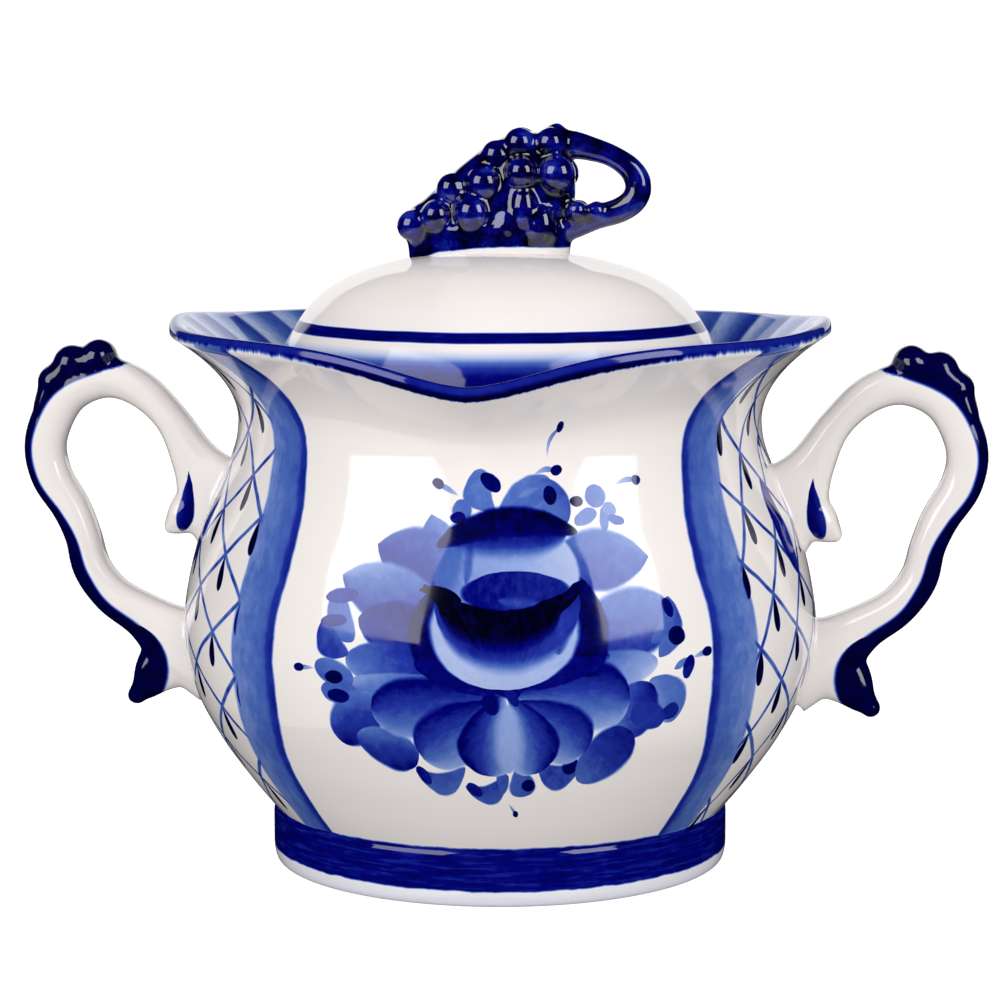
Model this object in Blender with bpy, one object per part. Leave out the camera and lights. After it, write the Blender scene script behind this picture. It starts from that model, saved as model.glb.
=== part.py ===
"""Lidded porcelain sugar bowl: a turned bowl, two scroll handles, a domed lid and a grape finial.

Metres, +Z up, +X to the right handle, -Y to the front. The origin is the centre of the foot.
Every turned outline is a list of (radius, height) points, and every angle is measured about +Z
from the front of the bowl.
"""

import math

import bmesh
import bpy
from mathutils import Matrix, Vector

MM = 0.001

# Driving dimensions, in millimetres
GAP = 0.3                  # space between pieces that touch
WALL = 3.2                 # thickness of the cast wall
FOOT_RADIUS = 43.0
FOOT_HEIGHT = 9.0
RECESS_RADIUS = 38.4       # hollow under the foot
RECESS_HEIGHT = 4.4
FLOOR_HEIGHT = 8.6         # inside floor of the bowl
NECK_RADIUS = 49.0
NECK_HEIGHT = 83.3
LIP_RADIUS_FRONT = 59.0
LIP_RADIUS_SIDE = 61.7
LIP_HEIGHT = 98.6          # underside of the lip between the front dip and the side
LIP_THICKNESS = 2.4
LIP_DIP = 6.6              # how far the lip drops at the front and the back
LIP_DIP_ANGLE = math.radians(19.0)
LIP_DIP_POWER = 1.7
LIP_RISE = 1.6             # how far it rises again towards the handles
LIP_RISE_POWER = 16
LEDGE_HEIGHT = 90.5        # top of the gallery that the lid sits on
LEDGE_THICKNESS = 3.0
LEDGE_HOLE_RADIUS = 39.4
LEDGE_OUTER_RADIUS = 48.0
LID_RADIUS = 42.8
LID_TOP = 114.8
FLANGE_RADIUS = 38.8       # ring under the lid that locates it in the gallery
FLANGE_DEPTH = 5.6
HANDLE_DEPTH = 8.6         # front to back
BOWL_SEGMENTS = 48
LID_SEGMENTS = 40
HANDLE_SIDES = 12
VOXEL = 1.5                # grid that fuses the finial's grapes, stem and plinth

# Outline of the belly from the waist above the foot to the neck, (radius, height)
BELLY = [(42.5, 10.4), (47.6, 16.7), (53.2, 24.7), (57.6, 33.5), (59.65, 43.5),
         (58.6, 53.3), (55.9, 63.5), (52.1, 72.3), (49.6, 79.0), (NECK_RADIUS, NECK_HEIGHT)]

# Outline of the lid's dome from its edge to near the crown, (radius, height)
DOME = [(42.8, 92.0), (41.6, 94.6), (39.8, 98.2), (37.6, 101.8), (34.6, 105.6),
        (29.6, 109.2), (22.6, 112.0), (12.0, 114.1)]

# Middle line of a handle from its upper to its lower root: (x, z, width)
HANDLE_ROUTE = [(50.0, 64.0, 19.0), (54.6, 69.2, 15.5), (58.3, 75.0, 9.0), (62.7, 82.6, 6.2),
                (68.9, 88.4, 6.9), (75.8, 90.2, 7.7), (83.0, 86.8, 7.9), (87.1, 78.8, 8.0),
                (86.2, 71.8, 7.7), (82.4, 65.4, 7.1), (80.1, 59.9, 6.7), (78.5, 53.8, 7.1),
                (74.5, 48.5, 7.5), (68.4, 44.5, 8.8), (62.0, 40.0, 13.5), (54.0, 36.5, 18.0)]
UPPER_SPUR = [(57.0, 66.5, 10.0), (60.0, 64.2, 8.0), (62.4, 62.3, 4.4), (63.9, 61.2, 1.6)]
LOWER_SPUR = [(61.0, 38.5, 14.0), (65.6, 34.3, 9.6), (69.0, 31.0, 5.2), (71.2, 28.9, 1.8)]
THUMB_REST = [(76.1, 93.5, 3.7), (82.2, 92.1, 3.9), (86.3, 88.4, 3.3)]

# Finial, all in millimetres: grapes on the front half are (x, y, z, radius)
GRAPES = [(-16.0, -3.4, 119.4, 3.0), (-11.4, -5.0, 121.3, 2.9), (-4.6, -5.6, 121.9, 3.5),
          (-8.6, -3.6, 126.2, 3.0), (-2.6, -4.6, 127.2, 3.4), (-0.4, -2.6, 132.3, 3.0),
          (3.9, -2.8, 134.6, 3.0), (4.5, -5.4, 129.3, 3.0), (9.6, -2.4, 134.6, 3.0),
          (11.0, -4.4, 129.0, 3.5), (14.6, -3.0, 122.2, 2.0), (18.0, -1.4, 122.0, 2.0)]
CORES = [((-9.0, 0.0, 119.0), (9.5, 6.2, 6.0)), ((0.5, 0.0, 122.0), (10.5, 7.0, 8.5)),
         ((7.2, 0.0, 126.5), (7.0, 6.2, 10.0)), ((5.0, -4.8, 122.6), (3.8, 3.6, 5.4)),
         ((5.0, 4.8, 122.6), (3.8, 3.6, 5.4))]
PLINTH_CENTRE_X = -2.4
PLINTH_HALF_LENGTH = 16.0
PLINTH_HALF_DEPTH = 7.8
PLINTH_TOP = 119.0
STEM = [(8.0, 134.0, 3.0), (10.8, 136.6, 2.6), (12.4, 138.3, 1.1)]
VINE = [(10.0, 134.5, 3.0), (13.4, 135.2, 2.9), (17.2, 133.9, 2.3), (21.0, 132.2, 2.1),
        (24.4, 129.8, 2.3), (25.8, 127.0, 2.5), (25.0, 124.2, 2.5), (22.2, 122.2, 2.4),
        (18.0, 121.0, 2.4), (13.0, 119.6, 3.0), (9.0, 119.0, 3.2)]


def clear_scene():
    for item in list(bpy.data.objects):
        bpy.data.objects.remove(item)


def curve_through(points, steps):
    """Catmull-Rom curve through the points, with this many steps in each span."""
    ends = [points[0]] + list(points) + [points[-1]]
    found = []
    for i in range(1, len(ends) - 2):
        before, start, end, after = (Vector(p) for p in ends[i - 1:i + 3])
        for k in range(steps):
            t = k / steps
            found.append(0.5 * (2 * start + (end - before) * t
                                + (2 * before - 5 * start + 4 * end - after) * t ** 2
                                + (3 * start - before - 3 * end + after) * t ** 3))
    found.append(Vector(points[-1]))
    return found


def offset(outline, distance):
    """The outline moved to its right-hand side, seen along it with the radius to the right."""
    moved = []
    for i, point in enumerate(outline):
        along = outline[min(i + 1, len(outline) - 1)] - outline[max(i - 1, 0)]
        moved.append(point + Vector((along.y, -along.x)).normalized() * distance)
    return moved


def porcelain(name, colour, roughness=0.12):
    material = bpy.data.materials.new(name)
    material.use_nodes = True
    shader = material.node_tree.nodes["Principled BSDF"]
    shader.inputs["Base Color"].default_value = (*colour, 1.0)
    shader.inputs["Roughness"].default_value = roughness
    shader.inputs["Metallic"].default_value = 0.0
    shader.inputs["Coat Weight"].default_value = 0.5
    return material


def add_object(name, mesh_builder, material=None):
    """Links a new smooth-shaded object whose mesh is the bmesh builder, given in millimetres."""
    bmesh.ops.recalc_face_normals(mesh_builder, faces=mesh_builder.faces)
    bmesh.ops.scale(mesh_builder, vec=(MM, MM, MM), verts=mesh_builder.verts)
    mesh = bpy.data.meshes.new(name)
    mesh_builder.to_mesh(mesh)
    mesh_builder.free()
    mesh.shade_smooth()
    mesh.set_sharp_from_angle(angle=math.radians(50))
    item = bpy.data.objects.new(name, mesh)
    bpy.context.scene.collection.objects.link(item)
    if material:
        mesh.materials.append(material)
    return item


def add_guide(name, mesh_builder):
    guide = add_object(name, mesh_builder)
    guide.hide_render = True
    guide.display_type = "WIRE"
    return guide


def add_boolean(item, operation, guide):
    cut = item.modifiers.new(guide.name, "BOOLEAN")
    cut.operation = operation
    cut.solver = "EXACT"
    cut.object = guide


def turned(outline_at, segments):
    """A closed turned body. outline_at(angle) gives its points, first and last on the axis."""
    builder = bmesh.new()
    first = outline_at(0.0)
    poles = [builder.verts.new((0, 0, first[0][1])), builder.verts.new((0, 0, first[-1][1]))]
    rings = []
    for s in range(segments):
        angle = 2 * math.pi * s / segments
        rings.append([builder.verts.new((r * math.sin(angle), -r * math.cos(angle), z))
                      for r, z in outline_at(angle)[1:-1]])
    for s in range(segments):
        here, there = rings[s], rings[(s + 1) % segments]
        builder.faces.new((poles[0], here[0], there[0]))
        builder.faces.new((poles[1], there[-1], here[-1]))
        for k in range(len(here) - 1):
            builder.faces.new((here[k], here[k + 1], there[k + 1], there[k]))
    return builder


def sweep(builder, stations, depths):
    """A closed tube in the XZ plane: stations are (x, z, width), depths its size along Y."""
    rings = []
    for i, (x, z, width) in enumerate(stations):
        before = stations[max(i - 1, 0)]
        after = stations[min(i + 1, len(stations) - 1)]
        along = Vector((after[0] - before[0], after[1] - before[1])).normalized()
        ring = []
        for k in range(HANDLE_SIDES):
            angle = 2 * math.pi * k / HANDLE_SIDES
            side = 0.5 * width * math.cos(angle)
            ring.append(builder.verts.new((x - along.y * side, 0.5 * depths[i] * math.sin(angle),
                                           z + along.x * side)))
        rings.append(ring)
    for here, there in zip(rings, rings[1:]):
        for k in range(HANDLE_SIDES):
            n = (k + 1) % HANDLE_SIDES
            builder.faces.new((here[k], here[n], there[n], there[k]))
    builder.faces.new(rings[0])
    builder.faces.new(rings[-1])


def add_ellipsoid(builder, centre, radii, segments=12, rings=8):
    place = Matrix.Translation(centre) @ Matrix.Diagonal((*radii, 1.0))
    bmesh.ops.create_uvsphere(builder, u_segments=segments, v_segments=rings, radius=1.0,
                              matrix=place)


def lip_at(angle):
    """Radius and underside height of the lip: it dips at the front and the back."""
    fold = math.asin(min(1.0, abs(math.sin(angle))))
    dip = LIP_DIP * math.exp(-(fold / LIP_DIP_ANGLE) ** LIP_DIP_POWER)
    rise = LIP_RISE * math.sin(fold) ** LIP_RISE_POWER
    radius = LIP_RADIUS_FRONT + (LIP_RADIUS_SIDE - LIP_RADIUS_FRONT) * math.sin(fold) ** 2
    return radius, LIP_HEIGHT - dip + rise


def belly_outline(steps):
    return [Vector(p) for p in curve_through(BELLY, steps)]


def bowl_outline(angle):
    """From the middle of the foot's hollow, up the outside, over the lip and down the inside."""
    lip_radius, lip_height = lip_at(angle)
    belly = belly_outline(1)
    under = [(0.0, RECESS_HEIGHT + 0.4), (RECESS_RADIUS - 2.0, RECESS_HEIGHT),
             (RECESS_RADIUS, RECESS_HEIGHT - 1.6), (RECESS_RADIUS + 1.0, 0.0)]
    foot = [(FOOT_RADIUS - 0.9, 0.0), (FOOT_RADIUS - 0.1, 0.9), (FOOT_RADIUS, FOOT_HEIGHT - 0.4)]
    outside = [tuple(p) for p in belly]
    for step in (0.3, 0.55, 0.78, 1.0):
        outside.append((NECK_RADIUS + (lip_radius - NECK_RADIUS) * step ** 2,
                        NECK_HEIGHT + (lip_height - NECK_HEIGHT) * step))
    lip = [(lip_radius, lip_height + 0.5 * LIP_THICKNESS),
           (lip_radius - 0.8, lip_height + LIP_THICKNESS)]
    inner_radius = lip_radius - 1.8
    inner_height = lip_height + LIP_THICKNESS
    inside = []
    for step in (1.0, 0.75, 0.5, 0.25):
        inside.append((LEDGE_OUTER_RADIUS + (inner_radius - LEDGE_OUTER_RADIUS) * step ** 1.4,
                       LEDGE_HEIGHT + (inner_height - LEDGE_HEIGHT) * step))
    ledge = [(LEDGE_OUTER_RADIUS, LEDGE_HEIGHT), (LEDGE_HOLE_RADIUS, LEDGE_HEIGHT),
             (LEDGE_HOLE_RADIUS, LEDGE_HEIGHT - LEDGE_THICKNESS),
             (NECK_RADIUS - WALL, NECK_HEIGHT)]
    wall = [tuple(p) for p in reversed(offset(belly, -WALL)[1:-1])]
    floor = [(RECESS_RADIUS, FLOOR_HEIGHT + 2.2), (RECESS_RADIUS - 6.0, FLOOR_HEIGHT + 0.3),
             (0.0, FLOOR_HEIGHT)]
    return under + foot + outside + lip + inside + ledge + wall + floor


def lid_outline(angle):
    """From the middle of the lid's hollow, out and down to its flange, and over the dome."""
    dome = [Vector(p) for p in DOME]
    seat = LEDGE_HEIGHT + GAP
    flange_inner = FLANGE_RADIUS - 2.7
    hollow = [tuple(p) for p in reversed(offset(dome, -WALL)[3:])]
    inside = [(0.0, LID_TOP - WALL)] + hollow
    flange = [(flange_inner, seat), (flange_inner, seat - FLANGE_DEPTH),
              (FLANGE_RADIUS - 0.2, seat - FLANGE_DEPTH), (FLANGE_RADIUS, seat)]
    edge = [(LID_RADIUS - 0.5, seat)]
    return inside + flange + edge + [tuple(p) for p in dome] + [(0.0, LID_TOP)]


def belly_envelope(angle):
    """The outside of the bowl, a gap larger, which cuts the roots of the handles."""
    skin = [tuple(p) for p in offset(belly_outline(1), GAP)]
    return [(0.0, skin[0][1])] + skin + [(0.0, skin[-1][1])]


def dome_envelope(angle):
    """The outside of the lid, a gap larger, which cuts the base of the finial."""
    skin = [tuple(p) for p in offset([Vector(p) for p in DOME], GAP)]
    return [(0.0, skin[0][1])] + skin + [(0.0, LID_TOP + GAP)]


def tube_stations(route, steps):
    return [tuple(p) for p in curve_through(route, steps)]


def root_depths(stations):
    """Handle depth at each station: fuller where it meets the bowl."""
    last = len(stations) - 1
    return [HANDLE_DEPTH + 3.0 * max(0.0, 1 - 8 * min(i, last - i) / last)
            for i in range(last + 1)]


def mirror_x(builder, side):
    bmesh.ops.scale(builder, vec=(side, 1, 1), verts=builder.verts)


def build_handle(name, side, envelope, material):
    """A scroll handle on the +X side, or the -X side where side is -1."""
    builder = bmesh.new()
    stations = tube_stations(HANDLE_ROUTE, 2)
    sweep(builder, stations, root_depths(stations))
    mirror_x(builder, side)
    handle = add_object(name, builder, material)
    for part_name, route in (("upper_spur", UPPER_SPUR), ("lower_spur", LOWER_SPUR)):
        builder = bmesh.new()
        taper = [min(HANDLE_DEPTH - 0.4, width + 3.0) for x, z, width in route]
        sweep(builder, route, taper)
        mirror_x(builder, side)
        add_boolean(handle, "UNION", add_guide(f"{name}_{part_name}", builder))
    for number, (x, z, radius) in enumerate(THUMB_REST):
        builder = bmesh.new()
        add_ellipsoid(builder, (side * x, 0, z), (radius, 0.53 * HANDLE_DEPTH, radius))
        add_boolean(handle, "UNION", add_guide(f"{name}_bump_{number}", builder))
    add_boolean(handle, "DIFFERENCE", envelope)
    return handle


def build_finial(envelope, material):
    """Grapes on both halves, the core and plinth under them, and the looped vine."""
    builder = bmesh.new()
    for x, y, z, radius in GRAPES:
        for side in (1, -1):
            add_ellipsoid(builder, (x, y * side, z), (radius, radius, radius))
    for centre, radii in CORES:
        add_ellipsoid(builder, centre, radii, 16, 12)
    place = (Matrix.Translation((PLINTH_CENTRE_X, 0, 0.5 * (PLINTH_TOP + 106.0)))
             @ Matrix.Diagonal((PLINTH_HALF_LENGTH, PLINTH_HALF_DEPTH, PLINTH_TOP - 106.0, 1.0)))
    bmesh.ops.create_cone(builder, cap_ends=True, segments=32, radius1=1.0, radius2=0.93,
                          depth=1.0, matrix=place)
    for route in (STEM, VINE):
        stations = tube_stations([(x, z, 2 * radius) for x, z, radius in route], 2)
        sweep(builder, stations, [width for x, z, width in stations])
    finial = add_object("grape_finial", builder, material)
    fuse = finial.modifiers.new("fuse", "REMESH")
    fuse.mode = "VOXEL"
    fuse.voxel_size = VOXEL * MM
    fuse.use_smooth_shade = True
    add_boolean(finial, "DIFFERENCE", envelope)
    return finial


def build_all():
    clear_scene()
    white = (0.86, 0.86, 0.88)
    cobalt = (0.01, 0.02, 0.35)
    add_object("bowl", turned(bowl_outline, BOWL_SEGMENTS), porcelain("bowl_glaze", white))
    add_object("lid", turned(lid_outline, LID_SEGMENTS), porcelain("lid_glaze", white))
    belly = add_guide("belly_envelope", turned(belly_envelope, BOWL_SEGMENTS))
    dome = add_guide("dome_envelope", turned(dome_envelope, LID_SEGMENTS))
    build_handle("handle_left", -1, belly, porcelain("handle_left_glaze", white))
    build_handle("handle_right", 1, belly, porcelain("handle_right_glaze", white))
    build_finial(dome, porcelain("finial_glaze", cobalt))


build_all()
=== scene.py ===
"""Looks of the lidded porcelain sugar bowl: glazed white porcelain hand-painted in cobalt.

Lengths below are millimetres in the CAD frame (+Z up, -Y to the painted front) until a mesh is
made. Paint is a density from 0, bare glaze, to 1, the darkest cobalt, built up stroke by stroke.
"""

import math
from functools import partialmethod

import bmesh
import bpy
import numpy as np
from mathutils import Matrix, Vector


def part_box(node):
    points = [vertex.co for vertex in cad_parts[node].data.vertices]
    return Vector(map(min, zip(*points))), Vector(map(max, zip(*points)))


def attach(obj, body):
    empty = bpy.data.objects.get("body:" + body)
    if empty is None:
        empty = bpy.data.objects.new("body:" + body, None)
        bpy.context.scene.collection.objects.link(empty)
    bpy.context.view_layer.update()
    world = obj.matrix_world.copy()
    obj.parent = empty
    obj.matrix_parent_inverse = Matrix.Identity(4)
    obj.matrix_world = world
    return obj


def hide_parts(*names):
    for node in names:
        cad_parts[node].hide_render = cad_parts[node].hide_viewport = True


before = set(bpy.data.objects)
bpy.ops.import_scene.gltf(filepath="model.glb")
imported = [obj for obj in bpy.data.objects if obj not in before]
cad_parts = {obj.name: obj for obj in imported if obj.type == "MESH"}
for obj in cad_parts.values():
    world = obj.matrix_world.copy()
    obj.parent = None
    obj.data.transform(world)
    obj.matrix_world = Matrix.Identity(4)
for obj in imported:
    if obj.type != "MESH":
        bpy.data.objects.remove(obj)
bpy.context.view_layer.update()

MM = 0.001

# Sizes read from the CAD frame, in millimetres
bowl_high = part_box("bowl")[1]
lid_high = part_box("lid")[1]
LIP_RADIUS_SIDE = bowl_high.x / MM
LIP_TOP_SIDE = bowl_high.z / MM
BELLY_RADIUS = bowl_high.y / MM
LID_RADIUS = lid_high.x / MM
LID_TOP = lid_high.z / MM

# The rest of the bowl's and lid's form; outlines are (radius, height)
WALL = 3.2
FOOT_RADIUS = 43.0
RECESS_RADIUS = 38.4
RECESS_HEIGHT = 4.4
FLOOR_HEIGHT = 8.6
NECK_RADIUS = 49.0
NECK_HEIGHT = 83.3
LIP_THICKNESS = 2.4
LIP_EDGE = 2.4
LIP_RADIUS_FRONT = 59.0
LIP_RISE = 1.6
LIP_HEIGHT = LIP_TOP_SIDE - LIP_THICKNESS - LIP_RISE
LIP_DIP = 6.6
LIP_DIP_ANGLE = math.radians(19.0)
LIP_DIP_POWER = 1.7
LIP_RISE_POWER = 16
LEDGE_HEIGHT = 90.5
LEDGE_THICKNESS = 3.0
LEDGE_HOLE_RADIUS = 39.4
LEDGE_OUTER_RADIUS = 48.0
LID_SEAT = 90.8
FLANGE_RADIUS = 38.8
FLANGE_DEPTH = 5.6
FLANGE_THICKNESS = 2.7
BELLY = [(42.5, 10.4), (47.6, 16.7), (53.2, 24.7), (57.6, 33.5), (BELLY_RADIUS - 0.06, 43.5),
         (58.6, 53.3), (55.9, 63.5), (52.1, 72.3), (49.6, 79), (NECK_RADIUS, NECK_HEIGHT)]
DOME = [(LID_RADIUS, 92), (41.6, 94.6), (39.8, 98.2), (37.6, 101.8), (34.6, 105.6),
        (29.6, 109.2), (22.6, 112), (12, 114.1), (0, LID_TOP)]

# Handles and finial. Handle routes are (x, z, width) in the middle plane, the thumb rest, stem
# and vine (x, z, radius), grapes (x, y, z, radius), and other round forms (centre, radii).
HANDLE_DEPTH = 8.6
ROOT_SPREAD = 3.0                      # how much deeper a handle gets at its two roots
ROOT_PATCH = (24, 82, math.radians(15))  # low, high, half angle
HANDLE_ROUTE = [(50, 64, 19), (54.6, 69.2, 15.5), (58.3, 75, 9), (62.7, 82.6, 6.2),
                (68.9, 88.4, 6.9), (75.8, 90.2, 7.7), (83, 86.8, 7.9), (86.95, 78.8, 7.8),
                (86.2, 71.8, 7.7), (82.4, 65.4, 7.1), (80.1, 59.9, 6.7), (78.5, 53.8, 7.1),
                (74.5, 48.5, 7.5), (68.4, 44.5, 8.8), (62, 40, 13.5), (54, 36.5, 18)]
UPPER_SPUR = [(57, 66.5, 10), (60, 64.2, 8), (62.4, 62.3, 4.4), (63.9, 61.2, 1.6)]
LOWER_SPUR = [(61, 38.2, 14.4), (65.6, 34.3, 10), (68.4, 31, 5.8), (70, 29.6, 3.6)]
LOWER_TIP = ((70, 0, 29.2), (1.9, 3, 1.8))
THUMB_REST = [(76.5, 94, 3.6), (81.7, 92.9, 3.6), (85, 89.5, 3.3)]
GRAPES = [(-16, -3.4, 119.4, 3), (-11.4, -5, 121.3, 2.9), (-4.6, -5.6, 121.9, 3.5),
          (-8.6, -3.6, 126.2, 3), (-2.6, -4.6, 127.2, 3.4), (-0.4, -2.6, 132.3, 3),
          (3.9, -2.8, 134.6, 3), (4.5, -5.4, 129.3, 3), (9.6, -2.4, 134.6, 3),
          (11, -4.4, 129, 3.5), (14.6, -3, 122.2, 2), (18, -1.4, 122, 2)]
CORES = [((-9, 0, 119), (9.5, 6.2, 6)), ((0.5, 0, 122), (10.5, 7, 8.5)),
         ((7.2, 0, 126.5), (7, 5.6, 10))]
LEAF = [((1.8, 4.4, 119.6), (3.2, 3.4, 4.4)), ((7.8, 4.2, 119.4), (3.3, 3.4, 4.4)),
        ((4.8, 4.8, 122.6), (2.9, 3.2, 4.6))]
MOUND = [((-1.9, 0, 119), (14.6, 6.8, 3)), ((-1, 0, 121.2), (13.2, 6.9, 6)),
         ((3.6, 0, 127), (9.2, 6, 7.6))]
RIDGE = [(-16.2, 118.8, 5.4), (-11.8, 122.6, 5.6), (-7.6, 126.4, 5.8), (-3.6, 129.8, 5.6),
         (0.4, 132.6, 5.6), (5, 134, 5.4), (10, 133.8, 4.8)]
PLINTH = (-2, 15.6, 7.7, 109, 119.4)   # centre x, half length, half depth, foot, top
STEM = [(8.6, 133.6, 3), (10.8, 136.2, 2.5), (12, 137.6, 1.4)]
VINE = [(10, 133.9, 2.9), (13.4, 134.3, 2.7), (17.2, 133.5, 2.3), (21, 132.2, 2.1),
        (24.4, 129.8, 2.3), (25.8, 127, 2.5), (25, 124.2, 2.5), (22.2, 122.2, 2.4),
        (18, 121, 2.4), (13, 119.6, 3), (9, 119, 3.2)]

# Lights, in metres and degrees: name, the rays that see it, azimuth from the front, elevation,
# width, height and the brightness that a white card facing it shows
LIGHTS = [("reflected_left", "glossy", -41.0, 27.0, 0.86, 0.9, 3.6),
          ("softbox_left", "diffuse", -41.0, 27.0, 0.86, 0.9, 3.35),
          ("reflected_right", "glossy", 53.0, 27.0, 0.52, 0.9, 4.5),
          ("softbox_right", "diffuse", 53.0, 27.0, 0.52, 0.9, 4.1875),
          ("softbox_top", "diffuse", 0.0, 80.0, 1.0, 1.0, 0.3),
          ("softbox_front", "diffuse", 5.5, 4.0, 0.8, 0.8, 3.2),
          ("reflected_backdrop", "glossy", 185.5, 14.0, 1.6, 0.6, 1.0)]
LIGHT_DISTANCE = 1.2
LIGHT_AIM = (0, 0, 0.065)
AMBIENT = 0.50
SWEEP_GLOW = 0.62
SWEEP_PROFILE = [(1.7, 0.0), (2.0, 0.06), (2.2, 0.22), (2.3, 0.5), (2.3, 1.6)]
SWEEP_SIDES = 96

# The photograph's camera, in metres and degrees
CAMERA_LENS = 111.0
CAMERA_AZIMUTH = 5.5
CAMERA_PITCH = 7.3
CAMERA_DISTANCE = 0.5769
CAMERA_HEIGHT = 0.1416

# Fineness of the meshes
BOWL_SEGMENTS = 288
LID_SEGMENTS = 192
CURVE_STEPS = 8
FLARE_STEPS = 18                       # rows up the outside of the flared lip
INSIDE_STEPS = 14                      # rows down its inside
HANDLE_VOXEL = 0.5
HANDLE_EASING = 6
FINIAL_VOXEL = 0.35
FINIAL_EASING = 24

# The painted panels: paint coordinates are (distance round the belly, height)
PANEL_SHIFT = 4.0                      # the bouquet sits a little to the right of the front
PANEL_HALF = 47.0                      # a panel's material ends in the middle of a blue band
SIDE_CENTRE = 0.5 * math.pi * BELLY_RADIUS
BAND_WIDTH = 12.3
LATTICE_RIGHT = ((8.3, -6.6), (-6.2, -9.0), (-32.6, 54.8))    # its two steps and a crossing
LATTICE_LEFT = ((9.0, -7.0), (-9.0, -7.0), (41.1, 54.7))
DROP_LENGTH = 6.6
DROP_WIDTH = 3.0
RIM_BREADTH = 1.0                      # at the sides; the line is broader at the front
LIP_STROKES = 32                       # the slanted strokes inside the lip
FAN_HEART = (3.0, 42.5)                # the point that the bouquet's petals spread from
FOOT_BAND = (3.0, 10.8)
UV_UNIT = 100.0                        # millimetres to one unit of a UV map
FLARE_DEPTH = 10.0                     # the paint map's height inside the lip, measured down

# The panel is cut into tiles, so that each material holds only the strokes that reach its tile
TILE_LEFTS = [-PANEL_HALF, -24.0, -12.0, 0.0, 12.0, 24.0]
TILE_BOTTOMS = [0.0, 33.0, 44.0, 56.0, 68.0]
TILE_MARGIN = 2.2                      # room for the wobble of the paint map


# ---------------------------------------------------------------- outlines

def curve_through(points, steps):
    """Catmull-Rom curve through the points, with this many steps in each span."""
    ends = [points[0]] + list(points) + [points[-1]]
    found = []
    for i in range(1, len(ends) - 2):
        before, start, end, after = (Vector(p) for p in ends[i - 1:i + 3])
        for k in range(steps):
            t = k / steps
            found.append(0.5 * (2 * start + (end - before) * t
                                + (2 * before - 5 * start + 4 * end - after) * t ** 2
                                + (3 * start - before - 3 * end + after) * t ** 3))
    found.append(Vector(points[-1]))
    return found


def offset(outline, distance):
    """The outline moved sideways by this distance, to its right."""
    moved = []
    for i, point in enumerate(outline):
        along = outline[min(i + 1, len(outline) - 1)] - outline[max(i - 1, 0)]
        moved.append(point + Vector((along.y, -along.x)).normalized() * distance)
    return moved


def rounded(corners, steps=5):
    """Points of a polyline whose corners (radius, height, rounding) are eased by a curve."""
    found = []
    for i, (r, z, ease) in enumerate(corners):
        here = Vector((r, z))
        if ease == 0 or i in (0, len(corners) - 1):
            found.append(here)
            continue
        back = Vector(corners[i - 1][:2]) - here
        ahead = Vector(corners[i + 1][:2]) - here
        start = here + back.normalized() * min(ease, 0.45 * back.length)
        end = here + ahead.normalized() * min(ease, 0.45 * ahead.length)
        for k in range(steps + 1):
            t = k / steps
            found.append(start * (1 - t) ** 2 + here * 2 * t * (1 - t) + end * t ** 2)
    return found


def lip_at(angle):
    """Radius and underside height of the lip: it dips at the front and the back."""
    fold = math.asin(min(1.0, abs(math.sin(angle))))
    dip = LIP_DIP * math.exp(-(fold / LIP_DIP_ANGLE) ** LIP_DIP_POWER)
    rise = LIP_RISE * math.sin(fold) ** LIP_RISE_POWER
    radius = LIP_RADIUS_FRONT + (LIP_RADIUS_SIDE - LIP_RADIUS_FRONT) * math.sin(fold) ** 2
    return radius, LIP_HEIGHT - dip + rise


BELLY_CURVE = curve_through(BELLY, CURVE_STEPS)
BELLY_INSIDE = list(reversed(offset(curve_through(BELLY, 4), -WALL)[4:-3]))


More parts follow.
